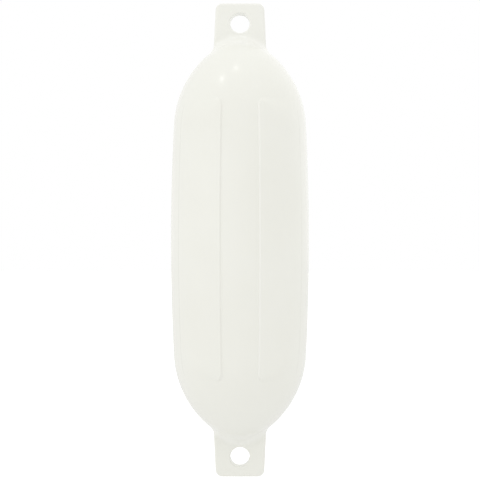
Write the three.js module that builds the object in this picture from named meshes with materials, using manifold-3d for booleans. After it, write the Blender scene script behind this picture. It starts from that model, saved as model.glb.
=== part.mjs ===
// Boat fender with an eye at each end: one blown vinyl body, and the small valve that it is inflated through.
// Millimetres. The fender hangs along Z with the middle of its body at the origin. The flat tabs lie in the
// XZ plane, so their eyes run along Y, which is also the way the two halves of the mould part.

import * as THREE from 'three';
import Module from 'manifold-3d';
import { mergeVertices } from 'three/addons/utils/BufferGeometryUtils.js';

// Body: a long barrel that turns into a pointed dome at each end
const bodyRadius = 70.4;
const barrelLength = 234.8; // from shoulder to shoulder
const barrelCrown = 3.0; // how much slimmer the shoulders are than the middle, on the radius
const domeRadius = 100.8; // of the dome's profile
const noseRadius = 12.0; // that rounds the dome's point off

// Raised panels: two on the front and two on the back, with sides that run straight along the body
const panelRelief = 1.2;
const panelPastShoulder = 24.1; // how far a panel runs on past the barrel's shoulder
const panelInnerTurn = 14.4; // degrees from the middle of the front or back, where the inner side rises
const panelOuterTurn = 61.4; // the same for the outer side
const panelSlope = 3.0; // width of the sloping edge
const panelCorner = 8.5;

// Tabs: flat, a little narrower at the end, rounded all over
const tabReach = 34.7; // from the dome's point to the tab's end
const tabThickness = 15.0;
const tabEndWidth = 49.0;
const tabRootWidth = 53.6; // where it leaves the dome
const tabCorner = 5.5;
const tabEdgeRound = 2.5;
const tabBuried = 26.0; // length of tab inside the dome, from its point down
const faceCove = 4.2; // hollow fillet between the tab's flat faces and the dome
const edgeCove = 2.0; // the same along the tab's narrow edges

// Eyes
const eyeRadius = 9.9;
const eyeToEnd = 20.9; // from the hole's middle to the tab's end
const eyeRimRound = 1.5;

// Valve: a soft plug with a flange, flush in a stepped seat on the back of the lower dome
const valveSlant = 40.0; // degrees that the valve looks down from level
const valveRadius = 6.0;
const valveFlange = 2.6;
const valveStemRadius = 3.8;
const valveDepth = 9.0;
const valveDish = 0.5; // depth of the hollow that leads the needle in
const valveNeedleRadius = 0.9;
const valveNeedleDepth = 6.0;
const valveSunk = 0.3; // the flange's rim lies this far below the skin
const seatClearance = 0.3;

// Fineness of the surfaces
const barrelSteps = 4; // from the middle to the shoulder
const shoulderSteps = 2; // from there to the panel's rounded end
const domeSteps = 9;
const noseSteps = 3;
const stripSteps = 3; // from the middle of the front to a panel
const panelSteps = 6; // between a panel's rounded sides
const flankSteps = 5; // from a panel to where the mould parts
const roundSteps = 3;
const eyeSteps = 36;
const valveSteps = 24;
const coveSteps = 4;
const coveStations = 44;
const skim = 0.35; // how far one surface dips under another that it runs into
const pointSnap = 1e-4;

const degree = Math.PI / 180;
const quarterTurn = Math.PI / 2;
const shoulderHeight = barrelLength / 2;
const panelEnd = shoulderHeight + panelPastShoulder;
const edgeDepths = [0, panelSlope, (panelSlope + panelCorner) / 2, panelCorner]; // of the lines over an edge
const barrelArc = (shoulderHeight ** 2 + barrelCrown ** 2) / (2 * barrelCrown);
const shoulderTurn = Math.asin(shoulderHeight / barrelArc);
const domeX = bodyRadius - barrelCrown - domeRadius * Math.cos(shoulderTurn); // centre of the dome's arc
const domeZ = shoulderHeight - domeRadius * Math.sin(shoulderTurn);
const noseZ = domeZ + Math.sqrt((domeRadius - noseRadius) ** 2 - domeX ** 2);
const noseTurn = Math.atan2(noseZ - domeZ, -domeX);
const noseTop = noseZ + noseRadius;
const tabEnd = noseTop + tabReach;
const eyeHeight = tabEnd - eyeToEnd;

const wasm = await Module();
wasm.setup();

const vinyl = new THREE.MeshStandardMaterial({ color: 0xf0f0e8, roughness: 0.38, metalness: 0 });
const softRubber = new THREE.MeshStandardMaterial({ color: 0xe6e6dd, roughness: 0.6, metalness: 0 });

// Solids and meshes
function solidOf(geometry) {
  const plain = geometry.clone();
  plain.deleteAttribute('normal');
  plain.deleteAttribute('uv');
  const merged = mergeVertices(plain, pointSnap);
  const corners = merged.index.array;
  const triangles = [];
  for (let i = 0; i < corners.length; i += 3) {
    const [a, b, c] = corners.subarray(i, i + 3);
    if (a !== b && b !== c && c !== a) triangles.push(a, b, c);
  }
  return new wasm.Manifold(new wasm.Mesh({
    numProp: 3,
    vertProperties: new Float32Array(merged.attributes.position.array),
    triVerts: new Uint32Array(triangles),
  }));
}

function geometryOf(solid) {
  const mesh = solid.getMesh();
  const geometry = new THREE.BufferGeometry();
  geometry.setAttribute('position', new THREE.BufferAttribute(new Float32Array(mesh.vertProperties), 3));
  geometry.setIndex(new THREE.BufferAttribute(new Uint32Array(mesh.triVerts), 1));
  geometry.computeVertexNormals();
  return geometry;
}

// Points of an arc about (x, y), from one angle to another
function arc(x, y, radius, from, to, steps) {
  const points = [];
  for (let i = 0; i <= steps; i += 1) {
    const turn = from + ((to - from) * i) / steps;
    points.push(new THREE.Vector2(x + radius * Math.cos(turn), y + radius * Math.sin(turn)));
  }
  return points;
}

// Distance of the barrel's and dome's skin from the axis, at a height
function skinRadius(z) {
  const height = Math.abs(z);
  if (height < shoulderHeight) return bodyRadius - barrelArc + Math.sqrt(barrelArc ** 2 - height ** 2);
  return domeX + Math.sqrt(domeRadius ** 2 - (height - domeZ) ** 2);
}

// Height of the upper dome's skin, at a distance from the axis
function domeHeight(distance) {
  const noseJoin = noseRadius * Math.cos(noseTurn);
  if (distance < noseJoin) return noseZ + Math.sqrt(noseRadius ** 2 - distance ** 2);
  return domeZ + Math.sqrt(domeRadius ** 2 - (distance - domeX) ** 2);
}

// Places from one end of a span to the other, evenly spaced
function evenSteps(from, to, steps) {
  return Array.from({ length: steps + 1 }, (_, i) => from + ((to - from) * i) / steps);
}

// Heights of the skin's rings from the middle up to the panel's end, close together over its sloping edge
function barrelHeights() {
  return [
    ...evenSteps(0, shoulderHeight, barrelSteps),
    ...evenSteps(shoulderHeight, panelEnd - panelCorner, shoulderSteps).slice(1),
    ...edgeDepths.slice(0, -1).reverse().map((depth) => panelEnd - depth),
  ];
}

// Turns of the skin's lines from the middle of the front to the side, close together over a panel's edges
function quarterTurns() {
  const inner = panelInnerTurn * degree;
  const outer = panelOuterTurn * degree;
  const edge = edgeDepths.map((depth) => depth / bodyRadius);
  const corner = panelCorner / bodyRadius;
  return [
    ...evenSteps(0, inner, stripSteps),
    ...edge.slice(1).map((turn) => inner + turn),
    ...evenSteps(inner + corner, outer - corner, panelSteps).slice(1),
    ...edge.slice(0, -1).reverse().map((turn) => outer - turn),
    ...evenSteps(outer, quarterTurn, flankSteps).slice(1),
  ];
}

// The moulded skin, turned from one profile, with its lines drawn together round the panels' corners
function skinBody() {
  const heights = barrelHeights();
  const endTurn = Math.asin((panelEnd - domeZ) / domeRadius);
  const upper = [
    ...heights.map((z) => new THREE.Vector2(skinRadius(z), z)),
    ...arc(domeX, domeZ, domeRadius, endTurn, noseTurn, domeSteps).slice(1),
    ...arc(0, noseZ, noseRadius, noseTurn, quarterTurn, noseSteps).slice(1),
  ];
  upper[upper.length - 1].x = 0;
  const lower = upper.slice(1).reverse().map((point) => new THREE.Vector2(point.x, -point.y));
  const profile = [...lower, ...upper];
  const quarter = quarterTurns();
  const half = [...quarter, ...quarter.slice(0, -1).reverse().map((turn) => Math.PI - turn)];
  const turns = [...half, ...half.slice(1).map((turn) => Math.PI + turn)];
  const skin = new THREE.LatheGeometry(profile, turns.length - 1).rotateX(quarterTurn);
  const position = skin.attributes.position;
  for (let i = 0; i < position.count; i += 1) {
    const turn = turns[Math.floor(i / profile.length)];
    const { x: radius, y: z } = profile[i % profile.length];
    const spot = roundPanelCorner(turn, z);
    const reach = (spot.z === z ? radius : skinRadius(spot.z)) + panelRelief * spot.rise;
    position.setXYZ(i, reach * Math.sin(spot.turn), -reach * Math.cos(spot.turn), spot.z);
  }
  return skin;
}

// Where a place on the skin goes when the panels' corners are rounded, and how far it is raised, from 0 to 1
function roundPanelCorner(turn, z) {
  const middle = ((panelInnerTurn + panelOuterTurn) / 2) * degree;
  const halfWidth = ((panelOuterTurn - panelInnerTurn) / 2) * degree * bodyRadius;
  const face = Math.round(turn / Math.PI) * Math.PI; // the middle of the front or the back
  const side = Math.sign(turn - face);
  const across = (Math.abs(turn - face) - middle) * bodyRadius;
  const sideDepth = halfWidth - Math.abs(across);
  const endDepth = panelEnd - Math.abs(z);
  if (sideDepth < -pointSnap || endDepth < -pointSnap) return { turn, z, rise: 0 };
  const pastSide = Math.max(0, panelCorner - sideDepth);
  const pastEnd = Math.max(0, panelCorner - endDepth);
  const squeeze = Math.max(pastSide, pastEnd) / (Math.hypot(pastSide, pastEnd) || 1);
  const roundAcross = across - Math.sign(across) * pastSide * (1 - squeeze);
  return {
    turn: face + side * (middle + roundAcross / bodyRadius),
    z: z - Math.sign(z) * pastEnd * (1 - squeeze),
    rise: Math.min(1, Math.max(0, Math.min(sideDepth, endDepth)) / panelSlope),
  };
}

// The flat tab at the top, which runs down into the dome
function tab() {
  const endHalf = tabEndWidth / 2;
  const rootHalf = tabRootWidth / 2;
  const outline = new THREE.Shape();
  outline.moveTo(-rootHalf, noseTop - tabBuried);
  outline.lineTo(rootHalf, noseTop - tabBuried);
  outline.lineTo(rootHalf, domeHeight(rootHalf));
  outline.lineTo(endHalf, tabEnd - tabCorner);
  outline.absarc(endHalf - tabCorner, tabEnd - tabCorner, tabCorner, 0, quarterTurn);
  outline.absarc(tabCorner - endHalf, tabEnd - tabCorner, tabCorner, quarterTurn, Math.PI);
  outline.lineTo(-rootHalf, domeHeight(rootHalf));
  const slab = new THREE.ExtrudeGeometry(outline, {
    depth: tabThickness - 2 * tabEdgeRound,
    bevelThickness: tabEdgeRound,
    bevelSize: tabEdgeRound,
    bevelOffset: -tabEdgeRound,
    bevelSegments: roundSteps,
    curveSegments: 2 * roundSteps,
  });
  return slab.translate(0, 0, tabEdgeRound - tabThickness / 2).rotateX(quarterTurn);
}

// Round-cornered section of the tab where it leaves the dome
function tabSection() {
  const halfX = tabRootWidth / 2;
  const halfY = tabThickness / 2;
  const flatX = halfX - tabEdgeRound;
  const flatY = halfY - tabEdgeRound;
  const section = new THREE.Shape();
  section.moveTo(halfX, -flatY);
  section.lineTo(halfX, flatY);
  section.absarc(flatX, flatY, tabEdgeRound, 0, quarterTurn);
  section.lineTo(-flatX, halfY);
  section.absarc(-flatX, flatY, tabEdgeRound, quarterTurn, 2 * quarterTurn);
  section.lineTo(-halfX, -flatY);
  section.absarc(-flatX, -flatY, tabEdgeRound, 2 * quarterTurn, 3 * quarterTurn);
  section.lineTo(flatX, -halfY);
  section.absarc(flatX, -flatY, tabEdgeRound, 3 * quarterTurn, 4 * quarterTurn);
  return section;
}

// The hollow fillet round the tab's root: a concave strip that leaves the wall and meets the dome smoothly
function rootCove() {
  const section = tabSection();
  const taper = (tabRootWidth - tabEndWidth) / 2 / (tabEnd - domeHeight(tabRootWidth / 2));
  const ring = coveSteps + 3;
  const position = [];
  const index = [];
  for (let i = 0; i < coveStations; i += 1) {
    const point = section.getPoint(i / coveStations);
    const tangent = section.getTangent(i / coveStations);
    const outward = new THREE.Vector2(tangent.y, -tangent.x);
    const cove = edgeCove + (faceCove - edgeCove) * Math.abs(outward.y);
    const place = (offset, rise) => {
      const spot = point.clone().addScaledVector(outward, offset);
      const z = domeHeight(spot.length()) + rise;
      spot.x -= outward.x * taper * Math.max(0, z - domeHeight(tabRootWidth / 2));
      position.push(spot.x, spot.y, z);
    };
    place(-tabEdgeRound / 2, -cove);
    place(-tabEdgeRound / 2, cove);
    for (let k = 0; k <= coveSteps; k += 1) {
      const turn = (k / coveSteps) * quarterTurn;
      place((cove + skim) * (1 - Math.cos(turn)) - skim, (cove + skim) * (1 - Math.sin(turn)) - skim);
    }
    const next = (i + 1) % coveStations;
    for (let k = 0; k < ring; k += 1) {
      const [a, b] = [i * ring + k, i * ring + ((k + 1) % ring)];
      const [c, d] = [next * ring + k, next * ring + ((k + 1) % ring)];
      index.push(a, b, c, b, d, c);
    }
  }
  const geometry = new THREE.BufferGeometry();
  geometry.setAttribute('position', new THREE.Float32BufferAttribute(position, 3));
  geometry.setIndex(index);
  return geometry;
}

// What the eye's hole takes away, with its rims rounded
function eyeCutter() {
  const wall = tabThickness / 2;
  const flare = eyeRadius + eyeRimRound;
  const rim = wall - eyeRimRound;
  const profile = [
    new THREE.Vector2(0, -2 * wall),
    new THREE.Vector2(flare, -2 * wall),
    ...arc(flare, -rim, eyeRimRound, 3 * quarterTurn, Math.PI, roundSteps),
    ...arc(flare, rim, eyeRimRound, Math.PI, quarterTurn, roundSteps),
    new THREE.Vector2(flare, 2 * wall),
    new THREE.Vector2(0, 2 * wall),
  ];
  return new THREE.LatheGeometry(profile, eyeSteps).translate(0, 0, eyeHeight);
}

// Half of the valve's turned profile, and with a clearance the seat's: the stem, the step and the flange
function valveOutline(clearance, top) {
  return [
    new THREE.Vector2(0, -valveDepth - clearance),
    new THREE.Vector2(valveStemRadius + clearance, -valveDepth - clearance),
    new THREE.Vector2(valveStemRadius + clearance, -valveFlange - clearance),
    new THREE.Vector2(valveRadius + clearance, -valveFlange - clearance),
    new THREE.Vector2(valveRadius + clearance, top),
  ];
}

// Moves what is modelled along Y to the valve's place, with Y looking straight out of the lower dome
function toValvePlace() {
  const turn = valveSlant * degree;
  const reach = domeX + (domeRadius - valveSunk) * Math.cos(turn);
  const height = domeZ + (domeRadius - valveSunk) * Math.sin(turn);
  const outward = new THREE.Vector3(0, Math.cos(turn), -Math.sin(turn));
  const facing = new THREE.Quaternion().setFromUnitVectors(new THREE.Vector3(0, 1, 0), outward);
  return new THREE.Matrix4().makeRotationFromQuaternion(facing).setPosition(0, reach, -height);
}

function valveSeat() {
  const open = valveRadius; // the cutter stands out of the skin
  const profile = [...valveOutline(seatClearance, open), new THREE.Vector2(0, open)];
  return new THREE.LatheGeometry(profile, valveSteps).applyMatrix4(toValvePlace());
}

function inflationValve() {
  const dishRadius = valveRadius - 2 * valveDish;
  const profile = [
    ...valveOutline(0, 0),
    new THREE.Vector2(dishRadius, 0),
    new THREE.Vector2(valveNeedleRadius, -valveDish),
    new THREE.Vector2(valveNeedleRadius, -valveNeedleDepth),
    new THREE.Vector2(0, -valveNeedleDepth),
  ];
  const valve = new THREE.Mesh(geometryOf(solidOf(new THREE.LatheGeometry(profile, valveSteps))), softRubber);
  valve.name = 'inflation_valve';
  valve.applyMatrix4(toValvePlace());
  return valve;
}

function fenderBody() {
  let body = solidOf(skinBody());
  const halfTurn = new THREE.Matrix4().makeRotationY(Math.PI); // puts an upper part on the lower end
  for (const piece of [tab(), rootCove()]) {
    body = body.add(solidOf(piece)).add(solidOf(piece.clone().applyMatrix4(halfTurn)));
  }
  for (const cut of [eyeCutter(), eyeCutter().applyMatrix4(halfTurn), valveSeat()]) {
    body = body.subtract(solidOf(cut));
  }
  const mesh = new THREE.Mesh(geometryOf(body), vinyl);
  mesh.name = 'fender_body';
  return mesh;
}

const fender = new THREE.Group();
fender.add(fenderBody(), inflationValve());

export default fender;
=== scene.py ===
import math

import bmesh
import bpy
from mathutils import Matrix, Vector


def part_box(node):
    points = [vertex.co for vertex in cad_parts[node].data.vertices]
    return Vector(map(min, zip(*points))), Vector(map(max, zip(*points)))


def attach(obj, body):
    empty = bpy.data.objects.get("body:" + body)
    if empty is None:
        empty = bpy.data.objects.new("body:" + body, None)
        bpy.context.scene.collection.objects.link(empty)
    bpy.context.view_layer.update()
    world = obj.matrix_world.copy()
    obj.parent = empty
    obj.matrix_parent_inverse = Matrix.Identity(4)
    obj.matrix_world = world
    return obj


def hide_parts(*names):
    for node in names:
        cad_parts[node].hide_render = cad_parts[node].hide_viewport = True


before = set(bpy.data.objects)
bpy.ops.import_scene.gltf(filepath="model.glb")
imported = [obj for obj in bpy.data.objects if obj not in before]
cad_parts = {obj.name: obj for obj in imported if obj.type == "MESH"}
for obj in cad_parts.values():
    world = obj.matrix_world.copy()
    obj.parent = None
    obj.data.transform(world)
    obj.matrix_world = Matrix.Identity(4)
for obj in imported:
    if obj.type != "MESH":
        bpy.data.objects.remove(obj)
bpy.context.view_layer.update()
print("frame loaded:", sorted(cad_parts))

# The fender hangs along Z and its front looks towards -Y. Shapes are worked out in millimetres.
millimetre = 0.001
quarterTurn = math.pi / 2
tiny = 0.001            # in tests of places, what counts as no distance
facing = 0.9            # how squarely a face has to look up or down to be taken as an end
mergeDistance = 0.002 * millimetre
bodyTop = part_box("fender_body")[1] / millimetre


# Helpers for work in object and edit mode

def deselectAll():
    if bpy.context.mode != "OBJECT":
        bpy.ops.object.mode_set(mode="OBJECT")
    bpy.ops.object.select_all(action="DESELECT")


def onlySelect(thing):
    deselectAll()
    thing.select_set(True)
    bpy.context.view_layer.objects.active = thing


def editMode(thing):
    onlySelect(thing)
    bpy.ops.object.mode_set(mode="EDIT")


def nameIt(name):
    thing = bpy.context.active_object
    thing.name = name
    thing.data.name = name
    return thing


def selectParts(thing, kind, test):  # in edit mode: selects what passes the test, and nothing else
    bpy.ops.mesh.select_mode(type=kind)
    bpy.ops.mesh.select_all(action="DESELECT")
    mesh = bmesh.from_edit_mesh(thing.data)
    for part in {"FACE": mesh.faces, "EDGE": mesh.edges, "VERT": mesh.verts}[kind]:
        if test(part):
            part.select_set(True)
    mesh.select_flush_mode()
    bmesh.update_edit_mesh(thing.data)


def placeSelected(thing, rule):  # in edit mode: each selected vertex goes where the rule says
    mesh = bmesh.from_edit_mesh(thing.data)
    for vertex in mesh.verts:
        if vertex.select:
            vertex.co = Vector(rule(vertex.co / millimetre)) * millimetre
    bmesh.update_edit_mesh(thing.data)


def applyModifier(thing, kind, **settings):
    onlySelect(thing)
    modifier = thing.modifiers.new(kind.lower(), kind)
    for name, value in settings.items():
        setattr(modifier, name, value)
    bpy.ops.object.modifier_apply(modifier=modifier.name)


def split(bounds, counts):  # places that part each stretch between two bounds evenly
    places = [bounds[0]]
    for start, end, count in zip(bounds, bounds[1:], counts):
        places += [start + (end - start) * (step + 1) / count for step in range(count)]
    return places


# The moulded skin: barrel, domes, panels, tabs and eyes. One eighth of it is laid out and then mirrored.

skinSizes = {
    "barrelLength": 234.8,
    "barrelCrown": 3.0,      # how much slimmer the shoulders are than the middle
    "domeRadius": 100.8,
    "panelRelief": 1.2,
    "panelEnd": 140.0,       # half of a panel's length
    "panelInnerTurn": math.radians(15.0),   # from the front, of the panels' sides along the body
    "panelOuterTurn": math.radians(59.2),
    "panelSideSlope": 1.5,   # width of the sloping edge at the sides
    "panelEndSlope": (2.5, 34.0),    # and at the ends, at the inner and the outer corner: so it fades out
    "panelCorner": 10.5,
    "sideMargin": 0.6,       # how far the fine columns reach past a side's slope
    "cornerMargin": 0.5,     # and past a corner's round
    "endMargin": 1.5,        # how far the fine rows reach past a panel's end
    "tabEndSink": 0.7,       # the rounded end stops a little short of the frame's box
    "tabHalfRoot": 26.8,
    "tabHalfEnd": 24.5,
    "tabHalfDepth": 7.5,
    "tabCorner": 6.5,
    "tabEdgeRound": 2.5,
    "topLineInset": 1.0,     # the top's middle line is this much shorter than the top at each end
    "faceCove": 8.5,         # hollow fillet at the root of the tab's faces
    "eyeCove": 4.3,          # how far it climbs below the eye
    "eyeCoveSpread": 0.07,   # how fast it climbs higher to the sides
    "edgeCove": 2.0,         # and at the tab's narrow edges
    "eyeRadius": 9.9,
    "eyeToEnd": 20.2,
    "eyeRimRound": 1.5,
    "eyeSupport": 0.25,      # a narrow flat ring that keeps the face round the rim level
    "eyeMargin": 1.6,        # from the rim to the first column beside it
    "seamHeight": 0.1,       # parting line of the mould
    "seamHalf": 0.3,
    "seamGap": 1.0,          # it stays this far off the eyes' bores
    "smoothAngle": math.radians(42),
}

skinCells = {  # how finely the eighth is divided
    # Round the barrel: middle strip, sloping side, corner, panel, corner, sloping side, flank, seam
    "round": [7, 9, 9, 8, 9, 9, 12, 2],
    # Round the tab: beside the eye, rest of the face, rounded edge, narrow edge, seam
    "tabRound": [12, 30, 12, 9, 2],
    # Up the barrel: plain stretch, stretch over the panel's end
    "barrel": [33, 15],
    "dome": 30,
    "domeBias": 1.4,         # above 1 the dome's rows lie closer near the tab
    "cove": 12,
    "wall": 24,
    "tabEnd": 10,
    "cap": 3,
    "eyeRim": 5,
}

bodyRadius = bodyTop.x
tabTop = bodyTop.z - skinSizes["tabEndSink"]
domeRadius = skinSizes["domeRadius"]
shoulderHeight = skinSizes["barrelLength"] / 2
barrelArc = (shoulderHeight ** 2 + skinSizes["barrelCrown"] ** 2) / (2 * skinSizes["barrelCrown"])
shoulderTurn = math.asin(shoulderHeight / barrelArc)
domeX = bodyRadius - skinSizes["barrelCrown"] - domeRadius * math.cos(shoulderTurn)
domeZ = shoulderHeight - domeRadius * math.sin(shoulderTurn)
panelBandStart = skinSizes["panelEnd"] - skinSizes["panelCorner"] - skinSizes["cornerMargin"]
panelBandEnd = skinSizes["panelEnd"] + skinSizes["endMargin"]
eyeHeight = tabTop - skinSizes["eyeToEnd"]


def skinRadius(z):
    if z < shoulderHeight:
        return bodyRadius - barrelArc + math.sqrt(barrelArc ** 2 - z ** 2)
    return domeX + math.sqrt(domeRadius ** 2 - (z - domeZ) ** 2)


def domeHeight(distance):  # from the axis
    return domeZ + math.sqrt(domeRadius ** 2 - (distance - domeX) ** 2)


def roundTurns():  # the columns' turns from the front, close together over a panel's two sides
    inner = skinSizes["panelInnerTurn"]
    outer = skinSizes["panelOuterTurn"]
    foot = skinSizes["sideMargin"] / bodyRadius
    ledge = (skinSizes["panelSideSlope"] + skinSizes["sideMargin"]) / bodyRadius
    corner = (skinSizes["panelCorner"] + skinSizes["cornerMargin"]) / bodyRadius
    seam = 2 * skinSizes["seamHalf"] / bodyRadius
    innerBounds = [inner - foot, inner + ledge, inner + corner]
    outerBounds = [outer - corner, outer - ledge, outer + foot]
    return split([0, *innerBounds, *outerBounds, quarterTurn - seam, quarterTurn], skinCells["round"])


def tabOutline():  # the columns' places round a quarter of the tab's root, each with its outward direction
    edgeRound = skinSizes["tabEdgeRound"]
    flatX = skinSizes["tabHalfRoot"] - edgeRound
    flatY = skinSizes["tabHalfDepth"] - edgeRound
    besideEye = skinSizes["eyeRadius"] + skinSizes["eyeRimRound"] + skinSizes["eyeMargin"]
    arcEnd = flatX + edgeRound * quarterTurn
    seam = 2 * skinSizes["seamHalf"]
    bounds = [0, besideEye, flatX, arcEnd, arcEnd + flatY - seam, arcEnd + flatY]
    outline = []
    for place in split(bounds, skinCells["tabRound"]):
        turn = quarterTurn * min(1, max(0, place - flatX) / (arcEnd - flatX))
        outward = Vector((math.sin(turn), -math.cos(turn)))
        spot = Vector((min(place, flatX), max(0, place - arcEnd) - flatY)) + outward * edgeRound
        outline.append((spot, outward))
    return outline


def smoothStep(share):
    share = min(1, max(0, share))
    return share * share * (3 - 2 * share)


def panelRise(turn, z):  # 1 on a panel, 0 beside it, and smooth over its sloping edge
    inner, outer = skinSizes["panelInnerTurn"], skinSizes["panelOuterTurn"]
    corner = skinSizes["panelCorner"]
    sideDepth = bodyRadius * min(turn - inner, outer - turn)
    endDepth = skinSizes["panelEnd"] - z
    past = math.hypot(max(0, corner - sideDepth), max(0, corner - endDepth))
    across = min(1, max(0, (turn - inner) / (outer - inner)))
    endSlope = skinSizes["panelEndSlope"][0] * (1 - across) + skinSizes["panelEndSlope"][1] * across
    return smoothStep((corner - past) / skinSizes["panelSideSlope"]) * smoothStep(endDepth / endSlope)


def sheetColumn(roundTurn, spot, outward):  # one line of the sheet, from the barrel's middle to the tab's top
    points = []
    for z in split([0, panelBandStart, panelBandEnd], skinCells["barrel"]):
        radius = skinRadius(z)
        points.append((radius * math.sin(roundTurn), -radius * math.cos(roundTurn), z))

    # The tab is a little narrower at its end. Its foot stands on the dome with a cove between them.
    halfDepth = skinSizes["tabHalfDepth"]
    edgeRound = skinSizes["tabEdgeRound"]
    corner = skinSizes["tabCorner"]
    rootZ = domeHeight(skinSizes["tabHalfRoot"])
    wallTop = tabTop - corner
    share = min(1, spot.x / (skinSizes["tabHalfRoot"] - edgeRound))
    taper = share * (skinSizes["tabHalfRoot"] - skinSizes["tabHalfEnd"]) / (tabTop - rootZ)
    cove = skinSizes["edgeCove"] + (skinSizes["faceCove"] - skinSizes["edgeCove"]) * abs(outward.y)
    climb = min(cove, skinSizes["eyeCove"] + skinSizes["eyeCoveSpread"] * spot.x ** 2)
    foot = spot.copy()
    foot.x -= taper * (domeHeight(spot.length) + climb - rootZ)

    start = Vector(points[-1][:2])
    end = foot + outward * cove
    startTurn = math.asin((panelBandEnd - domeZ) / domeRadius)
    endTurn = math.acos((end.length - domeX) / domeRadius)
    for step in range(1, skinCells["dome"] + 1):
        toTab = (1 - step / skinCells["dome"]) ** skinCells["domeBias"]
        turn = endTurn + (startTurn - endTurn) * toTab
        distance = domeX + domeRadius * math.cos(turn)
        place = start.lerp(end, (start.length - distance) / (start.length - end.length))
        points.append((place.x, place.y, domeHeight(place.length)))

    for step in range(1, skinCells["cove"] + 1):
        turn = quarterTurn * (1 - step / skinCells["cove"])
        place = foot + outward * cove * (1 - math.cos(turn))
        points.append((place.x, place.y, domeHeight(place.length) + climb * (1 - math.sin(turn))))

    foot3d = Vector(points[-1])
    head = Vector((spot.x - taper * (wallTop - rootZ), spot.y, wallTop))
    for step in range(1, skinCells["wall"] + 1):
        points.append(tuple(foot3d.lerp(head, step / skinCells["wall"])))

    for step in range(1, skinCells["tabEnd"] + 1):
        turn = quarterTurn * step / skinCells["tabEnd"]
        toEnd = corner * (1 - math.sin(turn))
        x = head.x - taper * (corner - toEnd) - share * corner * (1 - math.cos(turn))
        lean = max(0, edgeRound - toEnd)
        depth = halfDepth - edgeRound + math.sqrt(edgeRound ** 2 - lean ** 2)
        points.append((x, head.y * depth / halfDepth, tabTop - toEnd))
    return points


def closeTop(columns):  # carries the columns over the flat top to its middle line
    columnCount = len(columns) - 1
    lineEnd = columns[-1][-1][0] - skinSizes["topLineInset"]
    for index, points in enumerate(columns):
        x, y, z = points[-1]
        lineX = lineEnd * index / columnCount
        for step in range(1, skinCells["cap"] + 1):
            share = step / skinCells["cap"]
            points.append((x + (lineX - x) * share, y * (1 - share), z))


def fenderSkin():
    columns = []
    for roundTurn, (spot, outward) in zip(roundTurns(), tabOutline()):
        columns.append(sheetColumn(roundTurn, spot, outward))
    closeTop(columns)
    columnCount = len(columns) - 1
    rowCount = len(columns[0]) - 1
    bpy.ops.mesh.primitive_grid_add(x_subdivisions=columnCount, y_subdivisions=rowCount, size=1)
    skin = nameIt("fender_skin")

    # The cells where the eye comes are taken out of the flat grid, then the grid is laid on the form
    eyeColumns = skinCells["tabRound"][0]
    wallStart = sum(skinCells["barrel"]) + skinCells["dome"] + skinCells["cove"]
    wallEnd = wallStart + skinCells["wall"]
    editMode(skin)

    def gridPlace(place):
        return (place.x + 0.5) * columnCount, (place.y + 0.5) * rowCount

    def inEye(face):
        column, row = gridPlace(face.calc_center_median())
        return column < eyeColumns and wallStart < row < wallEnd

    selectParts(skin, "FACE", inEye)
    bpy.ops.mesh.delete(type="FACE")
    bpy.ops.mesh.select_all(action="SELECT")

    def layOut(flatPlace):
        column, row = gridPlace(flatPlace * millimetre)
        return columns[round(column)][round(row)]

    placeSelected(skin, layOut)

    # The opening's border is drawn in ring by ring: a flat circle, the rounded rim, and the bore
    halfDepth = skinSizes["tabHalfDepth"]
    rimRound = skinSizes["eyeRimRound"]
    rimRadius = skinSizes["eyeRadius"] + rimRound
    rings = [(rimRadius + skinSizes["eyeSupport"], halfDepth)]
    for step in range(skinCells["eyeRim"] + 1):
        turn = quarterTurn * step / skinCells["eyeRim"]
        rings.append((rimRadius - rimRound * math.sin(turn), halfDepth - rimRound * (1 - math.cos(turn))))
    rings += [(skinSizes["eyeRadius"], halfDepth / 2), (skinSizes["eyeRadius"], 0)]

    def onBorder(edge):
        ends = [vertex.co / millimetre for vertex in edge.verts]
        onFace = all(end.y < tiny - halfDepth and end.z > shoulderHeight for end in ends)
        return edge.is_boundary and onFace and max(end.x for end in ends) > tiny

    selectParts(skin, "EDGE", onBorder)
    for radius, depth in rings:
        bpy.ops.mesh.extrude_region_move()

        def ontoRing(place):
            turn = math.atan2(place.x, place.z - eyeHeight)
            return radius * math.sin(turn), -depth, eyeHeight + radius * math.cos(turn)

        placeSelected(skin, ontoRing)

    # Raised panels: a weight says how far each vertex goes out
    bpy.ops.object.mode_set(mode="OBJECT")
    raised = skin.vertex_groups.new(name="panels")
    for vertex in skin.data.vertices:
        x, y, z = vertex.co / millimetre
        if z < panelBandEnd:
            raised.add([vertex.index], panelRise(math.atan2(x, -y), z), "REPLACE")

    applyModifier(skin, "MIRROR", use_axis=(True, True, True), merge_threshold=mergeDistance)
    editMode(skin)
    bpy.ops.mesh.select_all(action="SELECT")
    bpy.ops.mesh.remove_doubles(threshold=mergeDistance)
    bpy.ops.mesh.normals_make_consistent(inside=False)
    bpy.ops.object.mode_set(mode="OBJECT")
    applyModifier(
        skin, "DISPLACE", direction="NORMAL", vertex_group="panels", mid_level=0,
        strength=skinSizes["panelRelief"] * millimetre,
    )

    # The mould parts where the front and back halves meet, outside the eyes
    editMode(skin)

    def onSeam(vertex):
        x, y, z = vertex.co / millimetre
        fromEye = math.hypot(x, abs(z) - eyeHeight)
        return abs(y) < tiny and fromEye > skinSizes["eyeRadius"] + skinSizes["seamGap"]

    selectParts(skin, "VERT", onSeam)
    bpy.ops.transform.shrink_fatten(value=skinSizes["seamHeight"] * millimetre)
    bpy.ops.object.mode_set(mode="OBJECT")
    return skin


# The valve: a soft plug with a flange, flush in a stepped seat on the back of the lower dome

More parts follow.
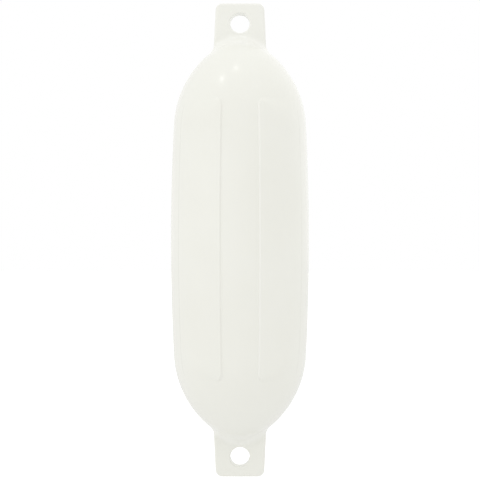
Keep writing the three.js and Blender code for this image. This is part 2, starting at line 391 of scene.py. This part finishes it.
valveSizes = {
    "slant": math.radians(40),   # how far it looks down from level
    "radius": 6.0,
    "flange": 2.6,
    "stemRadius": 3.8,
    "depth": 9.0,
    "dish": 0.5,
    "needleRadius": 0.9,
    "needleDepth": 6.0,
    "sunk": 0.3,
    "clearance": 0.3,
    "seatFlare": [(0.1, 0.15), (0.3, 0.2), (0.6, 0.2), (1.2, 0.1)],  # steps of the lip: wider by, higher by
    "seatReach": 5,              # how far the seat's cutter stands out of the skin
    "edgeRound": 0.3,
    "edgeAngle": math.radians(40),
    "smoothAngle": math.radians(50),
    "sides": 64,
}


def toValvePlace(thing):  # from upright at the origin to looking straight out of the lower dome
    slant = valveSizes["slant"]
    reach = domeRadius - valveSizes["sunk"]
    onlySelect(thing)
    thing.rotation_euler = (-quarterTurn - slant, 0, 0)
    back = domeX + reach * math.cos(slant)
    down = domeZ + reach * math.sin(slant)
    thing.location = Vector((0, back, -down)) * millimetre
    bpy.ops.object.transform_apply(location=True, rotation=True, scale=True)


def steppedPlug(name, radius, flange, stemRadius, depth):  # upright, a flange on a stem
    bpy.ops.mesh.primitive_cylinder_add(
        vertices=valveSizes["sides"], radius=radius * millimetre, depth=flange * millimetre,
        location=(0, 0, -flange / 2 * millimetre), end_fill_type="NGON",
    )
    plug = nameIt(name)
    bpy.ops.object.transform_apply(location=True, rotation=True, scale=True)
    editMode(plug)
    selectParts(plug, "FACE", lambda face: face.normal.z < -facing)
    bpy.ops.mesh.inset(thickness=(radius - stemRadius) * millimetre)
    bpy.ops.mesh.extrude_region_move(TRANSFORM_OT_translate={"value": (0, 0, (flange - depth) * millimetre)})
    return plug


def cutValveSeat(skin):
    clearance = valveSizes["clearance"]
    radius = valveSizes["radius"] + clearance
    cutter = steppedPlug(
        "seat_cutter", radius, valveSizes["flange"] + clearance, valveSizes["stemRadius"] + clearance,
        valveSizes["depth"] + clearance,
    )
    selectParts(cutter, "FACE", lambda face: face.normal.z > facing)
    for widen, rise in valveSizes["seatFlare"]:
        bpy.ops.mesh.extrude_region_move(TRANSFORM_OT_translate={"value": (0, 0, rise * millimetre)})
        lip = radius + widen
        placeSelected(cutter, lambda place: (place.x * lip / radius, place.y * lip / radius, place.z))
        radius = lip
    above = (0, 0, valveSizes["seatReach"] * millimetre)
    bpy.ops.mesh.extrude_region_move(TRANSFORM_OT_translate={"value": above})
    bpy.ops.object.mode_set(mode="OBJECT")
    toValvePlace(cutter)
    applyModifier(skin, "BOOLEAN", operation="DIFFERENCE", object=cutter, solver="EXACT")
    bpy.data.objects.remove(cutter, do_unlink=True)


def inflationValve():
    sizes = valveSizes
    valve = steppedPlug("valve_plug", sizes["radius"], sizes["flange"], sizes["stemRadius"], sizes["depth"])
    dishRadius = sizes["radius"] - 2 * sizes["dish"]
    selectParts(valve, "FACE", lambda face: face.normal.z > facing)
    bpy.ops.mesh.inset(thickness=(sizes["radius"] - dishRadius) * millimetre)
    bpy.ops.mesh.inset(
        thickness=(dishRadius - sizes["needleRadius"]) * millimetre, depth=-sizes["dish"] * millimetre,
    )
    needle = (0, 0, (sizes["dish"] - sizes["needleDepth"]) * millimetre)
    bpy.ops.mesh.extrude_region_move(TRANSFORM_OT_translate={"value": needle})
    bpy.ops.object.mode_set(mode="OBJECT")
    applyModifier(
        valve, "BEVEL", width=sizes["edgeRound"] * millimetre, segments=3, limit_method="ANGLE",
        angle_limit=sizes["edgeAngle"], use_clamp_overlap=True,
    )
    bpy.ops.object.shade_smooth_by_angle(angle=sizes["smoothAngle"])
    toValvePlace(valve)
    return valve


# Marks from 0 to 1, for the material: where light is painted into the vinyl's colour, and where shade is
# painted into it

paintedLightAndShadeSizes = {
    "tabZone": 60,               # the tabs and their roots lie nearer to the axis than this
    "eyeReach": 0.8,             # how far past the bore an eye's painted light reaches
    "eyeStrength": (1, 0.3),     # of the upper and the lower eye
    "rootReach": (4.0, 12.0),    # of the light painted over the shade at a tab's root, in full and in part
    "rootBefore": 0.6,           # the reach stretches out over the dome
    "rootAbove": 1.8,            # and shrinks up the tab
    "rootStrength": 0.55,
    "hollowPlace": 18.5,         # middle of the hollow in front of a root, from the axis, where light is painted over its shade
    "hollowReach": (20, 9),      # to its sides, and before and behind
    "hollowStrength": 0.5,
    "upperTabStrength": 0.25,    # the whole upper tab reads a little lighter: painted light
    "lowerTabStrength": 0.4,     # and painted shade over the lower one
    "lowerTabReach": 8,          # both fade in from the cove
    "coveStart": 0.1,
    "ridgePlace": 1.0,           # of the highlight painted along the right panels' inner ridge, from its foot
    "ridgeReach": 1.2,
    "ridgeStrength": 0.55,
    "footReach": (1.4, 3.5),     # of the painted shade at a panel's outer foot, over its slope and over the flank
}


def paintedLightAt(place):  # painted light: it lifts the shade in the eyes' bores, at the roots of the tabs and in the hollows before them, lightens the upper tab, and paints a highlight along the right panels' inner ridges
    x, y, z = abs(place.x), abs(place.y), abs(place.z)
    upper = place.z > 0
    # light painted into the eyes' bores, where they lie in shade
    if math.hypot(x, z - eyeHeight) < skinSizes["eyeRadius"] + paintedLightAndShadeSizes["eyeReach"]:
        return paintedLightAndShadeSizes["eyeStrength"][0 if upper else 1]
    distance = math.hypot(x, y)
    # light painted over the shade at the tabs' roots and in the hollows before them, and over the whole upper
    # tab
    if z > shoulderHeight and distance < paintedLightAndShadeSizes["tabZone"]:
        beside = max(0, x - skinSizes["tabHalfRoot"])
        before = paintedLightAndShadeSizes["rootBefore"] * max(0, y - skinSizes["tabHalfDepth"])
        above = paintedLightAndShadeSizes["rootAbove"] * max(0, z - domeHeight(distance))
        full, part = paintedLightAndShadeSizes["rootReach"]
        away = math.sqrt(beside ** 2 + before ** 2 + above ** 2)
        root = paintedLightAndShadeSizes["rootStrength"] * (1 - smoothStep((away - full) / (part - full)))
        acrossReach, depthReach = paintedLightAndShadeSizes["hollowReach"]
        fromHollow = math.hypot(x / acrossReach, (y - paintedLightAndShadeSizes["hollowPlace"]) / depthReach)
        root = min(1, root + paintedLightAndShadeSizes["hollowStrength"] * (1 - smoothStep(fromHollow)))
        return max(root, paintedLightAndShadeSizes["upperTabStrength"] * smoothStep(above / part)) if upper else root
    # a painted highlight along the right panels' inner ridges, on the right side only
    if place.x < 0:
        return 0
    past = bodyRadius * (math.atan2(x, y) - skinSizes["panelInnerTurn"])
    across = 1 - smoothStep(abs(past - paintedLightAndShadeSizes["ridgePlace"]) / paintedLightAndShadeSizes["ridgeReach"])
    fading = smoothStep((skinSizes["panelEnd"] - z) / skinSizes["panelCorner"])
    return paintedLightAndShadeSizes["ridgeStrength"] * across * fading


def paintedShadeAt(place):  # painted shade: on the lower tab, and along the panels' outer feet
    x, y, z = abs(place.x), abs(place.y), abs(place.z)
    distance = math.hypot(x, y)
    # shade painted over the lower tab
    if z > shoulderHeight and distance < paintedLightAndShadeSizes["tabZone"]:
        above = z - domeHeight(distance)
        if above > paintedLightAndShadeSizes["coveStart"]:
            lower = paintedLightAndShadeSizes["lowerTabStrength"] * smoothStep(above / paintedLightAndShadeSizes["lowerTabReach"])
            return lower if place.z < 0 else 0
    # shade painted along the panels' outer feet, where shade gathers
    past = bodyRadius * (math.atan2(x, y) - skinSizes["panelOuterTurn"])
    reach = paintedLightAndShadeSizes["footReach"][1 if past > 0 else 0]
    fading = smoothStep((skinSizes["panelEnd"] - z) / skinSizes["panelEndSlope"][1])
    return (1 - smoothStep(abs(past) / reach)) * fading


# Stores the painted light and the painted shade as point attributes on the skin
def paintLightAndShade(skin):
    for name, rule in [("painted_light", paintedLightAt), ("painted_shade", paintedShadeAt)]:
        marks = skin.data.attributes.new(name, "FLOAT", "POINT")
        for vertex, mark in zip(skin.data.vertices, marks.data):
            mark.value = rule(vertex.co / millimetre)


skin = fenderSkin()
cutValveSeat(skin)
paintLightAndShade(skin)
onlySelect(skin)
bpy.ops.object.shade_smooth_by_angle(angle=skinSizes["smoothAngle"])
print("skin modelled:", len(skin.data.polygons), "faces")

valve = inflationValve()
print("valve modelled:", len(valve.data.polygons), "faces")


# Materials

def newMaterial(name):
    material = bpy.data.materials.new(name)
    material.use_nodes = True
    material.node_tree.nodes.clear()
    return material, material.node_tree


def feed(tree, socket, value):  # another node's socket is linked, and anything else is set
    if isinstance(value, bpy.types.NodeSocket):
        tree.links.new(value, socket)
    else:
        socket.default_value = value


def addNode(tree, kind, **inputs):
    node = tree.nodes.new(kind)
    for name, value in inputs.items():
        feed(tree, node.inputs[name.replace("_", " ")], value)
    return node


def maths(tree, operation, *values, kind="ShaderNodeMath", result="Value"):
    node = tree.nodes.new(kind)
    node.operation = operation
    for socket, value in zip(node.inputs, values):
        feed(tree, socket, value)
    return node.outputs[result]


def colourMix(tree, factor, first, second):
    node = tree.nodes.new("ShaderNodeMix")
    node.data_type = "RGBA"
    for index, value in [(0, factor), (6, first), (7, second)]:  # the node's colour sockets
        feed(tree, node.inputs[index], value)
    return node.outputs[2]


surfaceDetail = {  # octaves of the noises, and the part of the clouds' noise that is stretched to the whole
    "clouds": 4,
    "waves": 2,
    "grain": 3,
    "cloudRange": (0.3, 0.7),
}


def mouldedSurfaceGroup():  # cloudy colour, uneven gloss, soft waves and a fine grain, on Object coordinates
    group = bpy.data.node_groups.new("mouldedSurface", "ShaderNodeTree")
    number, colour, vector = "NodeSocketFloat", "NodeSocketColor", "NodeSocketVector"
    sockets = [
        ("Vector", vector), ("Colour", colour), ("Deep Colour", colour), ("Cloud Scale", number),
        ("Roughness", number), ("Roughness Spread", number), ("Wave Scale", number), ("Wave Height", number),
        ("Grain Scale", number), ("Grain Height", number),
    ]
    for name, kind in sockets:
        group.interface.new_socket(name=name, in_out="INPUT", socket_type=kind)
    for name, kind in [("Colour", colour), ("Roughness", number), ("Height", number)]:
        group.interface.new_socket(name=name, in_out="OUTPUT", socket_type=kind)
    given = group.nodes.new("NodeGroupInput").outputs

    def noise(scaleName, detail):
        texture = addNode(
            group, "ShaderNodeTexNoise", Vector=given["Vector"], Scale=given[scaleName], Detail=detail,
        )
        return texture.outputs["Fac"]

    clouds = noise("Cloud Scale", surfaceDetail["clouds"])
    low, high = surfaceDetail["cloudRange"]
    stretch = addNode(group, "ShaderNodeMapRange", Value=clouds, From_Min=low, From_Max=high)
    cloudy = colourMix(group, stretch.outputs["Result"], given["Colour"], given["Deep Colour"])

    waves = noise("Wave Scale", surfaceDetail["waves"])
    grain = noise("Grain Scale", surfaceDetail["grain"])
    centred = maths(group, "SUBTRACT", waves, 0.5)
    roughness = maths(group, "MULTIPLY_ADD", centred, given["Roughness Spread"], given["Roughness"])
    waveHeight = maths(group, "MULTIPLY", waves, given["Wave Height"])
    height = maths(group, "MULTIPLY_ADD", grain, given["Grain Height"], waveHeight)
    addNode(group, "NodeGroupOutput", Colour=cloudy, Roughness=roughness, Height=height)
    return group


def mouldedMaterial(name, group, look, shader, tints):
    material, tree = newMaterial(name)
    place = addNode(tree, "ShaderNodeTexCoord")
    surface = addNode(tree, "ShaderNodeGroup")
    surface.node_tree = group
    tree.links.new(place.outputs["Object"], surface.inputs["Vector"])
    for socket, value in look.items():
        surface.inputs[socket].default_value = value
    colour = surface.outputs["Colour"]
    for attributeName, tint in tints.items():
        attribute = addNode(tree, "ShaderNodeAttribute")
        attribute.attribute_name = attributeName
        colour = colourMix(tree, attribute.outputs["Fac"], colour, tint)
    bump = addNode(
        tree, "ShaderNodeBump", Strength=1.0, Distance=millimetre, Height=surface.outputs["Height"],
    )
    principled = addNode(
        tree, "ShaderNodeBsdfPrincipled",
        Base_Color=colour, Roughness=surface.outputs["Roughness"], Normal=bump.outputs["Normal"],
    )
    for socket, value in shader.items():
        principled.inputs[socket].default_value = value
    addNode(tree, "ShaderNodeOutputMaterial", Surface=principled.outputs["BSDF"])
    return material


vinylLook = {
    "Colour": (0.874, 0.874, 0.812, 1),
    "Deep Colour": (0.858, 0.857, 0.790, 1),
    "Cloud Scale": 16,
    "Roughness": 0.24,
    "Roughness Spread": 0.04,
    "Wave Scale": 24,
    "Wave Height": 0.012,       # millimetres, as is the grain's
    "Grain Scale": 900,
    "Grain Height": 0.004,
}
vinylShader = {"IOR": 1.5, "Coat Weight": 0.12, "Coat Roughness": 0.14}
# The first tint is painted light and the second painted shade, laid on the vinyl by the skin's marks
vinylPaintedLightAndShade = {"painted_light": (0.925, 0.925, 0.88, 1), "painted_shade": (0.825, 0.825, 0.76, 1)}  # by the skin's marks

rubberLook = {
    "Colour": (0.80, 0.80, 0.735, 1),
    "Deep Colour": (0.76, 0.755, 0.69, 1),
    "Cloud Scale": 120,
    "Roughness": 0.55,
    "Roughness Spread": 0.2,
    "Wave Scale": 400,
    "Wave Height": 0.02,
    "Grain Scale": 2600,
    "Grain Height": 0.012,
}
rubberShader = {"IOR": 1.45}

surfaceGroup = mouldedSurfaceGroup()
skin.data.materials.clear()
skin.data.materials.append(mouldedMaterial("whiteVinyl", surfaceGroup, vinylLook, vinylShader, vinylPaintedLightAndShade))
valve.data.materials.clear()
valve.data.materials.append(mouldedMaterial("valveRubber", surfaceGroup, rubberLook, rubberShader, {}))
print("materials made")

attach(skin, "root")
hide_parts("fender_body")
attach(valve, "root")
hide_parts("inflation_valve")


# Stage: a pale floor below the hanging fender, soft light from all round, and two small lamps

stageSizes = {
    "floorHeight": -0.8,
    "floorSide": 60.0,
    "floorColour": (0.86, 0.86, 0.86, 1),
    "floorLift": 0.3,       # added where the camera sees the floor, so that it reads white
}


def seenDirectly(tree):  # 1 for what the camera sees, also through glass
    rays = addNode(tree, "ShaderNodeLightPath").outputs
    return maths(tree, "MAXIMUM", rays["Is Camera Ray"], rays["Is Transmission Ray"])


def paleFloor():
    deselectAll()
    bpy.ops.mesh.primitive_plane_add(size=stageSizes["floorSide"], location=(0, 0, stageSizes["floorHeight"]))
    floor = nameIt("pale_floor")
    material, tree = newMaterial("paleFloor")
    diffuse = addNode(tree, "ShaderNodeBsdfDiffuse", Color=stageSizes["floorColour"])
    lift = maths(tree, "MULTIPLY", seenDirectly(tree), stageSizes["floorLift"])
    glow = addNode(tree, "ShaderNodeEmission", Strength=lift)
    both = addNode(tree, "ShaderNodeAddShader")
    tree.links.new(diffuse.outputs["BSDF"], both.inputs[0])
    tree.links.new(glow.outputs["Emission"], both.inputs[1])
    addNode(tree, "ShaderNodeOutputMaterial", Surface=both.outputs["Shader"])
    floor.data.materials.append(material)


worldLook = {
    "level": 1.067,
    "slope": (-0.100, -0.042, -0.058),  # how much more light comes from the right, the back and above
    # And from opposite quarters: right and back, back and above, above and right
    "cross": (0.26, 0.12, 0.27),
}


def softRoom():
    world = bpy.data.worlds.new("softRoom")
    bpy.context.scene.world = world
    world.use_nodes = True
    tree = world.node_tree
    tree.nodes.clear()
    direction = addNode(tree, "ShaderNodeTexCoord").outputs["Generated"]
    vectorMath = "ShaderNodeVectorMath"
    along = maths(tree, "DOT_PRODUCT", direction, worldLook["slope"], kind=vectorMath)
    part = addNode(tree, "ShaderNodeSeparateXYZ", Vector=direction).outputs
    turned = addNode(tree, "ShaderNodeCombineXYZ", X=part["Y"], Y=part["Z"], Z=part["X"])
    products = maths(tree, "MULTIPLY", direction, turned.outputs["Vector"], kind=vectorMath, result="Vector")
    across = maths(tree, "DOT_PRODUCT", products, worldLook["cross"], kind=vectorMath)
    level = maths(tree, "ADD", maths(tree, "ADD", along, across), worldLook["level"])
    strength = addNode(tree, "ShaderNodeMix", Factor=seenDirectly(tree), A=level, B=1.0)  # 1 reads as white
    background = addNode(
        tree, "ShaderNodeBackground", Color=(1, 1, 1, 1), Strength=strength.outputs["Result"],
    )
    addNode(tree, "ShaderNodeOutputWorld", Surface=background.outputs["Background"])


lampAim = (0, 0, 0.12)  # all lamps look at this place
lamps = [  # place, side of the square, and power
    {"name": "upper_lamp", "place": (-0.16, -0.42, 1.72), "side": 0.1, "power": 0.38},
    {"name": "left_lamp", "place": (-0.735, -0.583, 1.486), "side": 0.1, "power": 0.56},
]


def addLamp(name, place, side, power):
    aim = Vector(place) - Vector(lampAim)
    deselectAll()
    bpy.ops.object.light_add(type="AREA", location=place, rotation=aim.to_track_quat("Z", "Y").to_euler())
    lamp = nameIt(name)
    lamp.data.size = side
    lamp.data.energy = power


cameraSizes = {
    "distance": 1.27,
    "lens": 93.26,
    "sensor": 36.0,
}


def addCamera():
    deselectAll()
    bpy.ops.object.camera_add(location=(0, -cameraSizes["distance"], 0), rotation=(quarterTurn, 0, 0))
    camera = nameIt("front_camera")
    camera.data.lens = cameraSizes["lens"]
    camera.data.sensor_width = cameraSizes["sensor"]
    bpy.context.scene.camera = camera


paleFloor()
softRoom()
for lamp in lamps:
    addLamp(**lamp)
addCamera()
bpy.context.scene.view_settings.view_transform = "Standard"
print("stage, lamps and camera set")
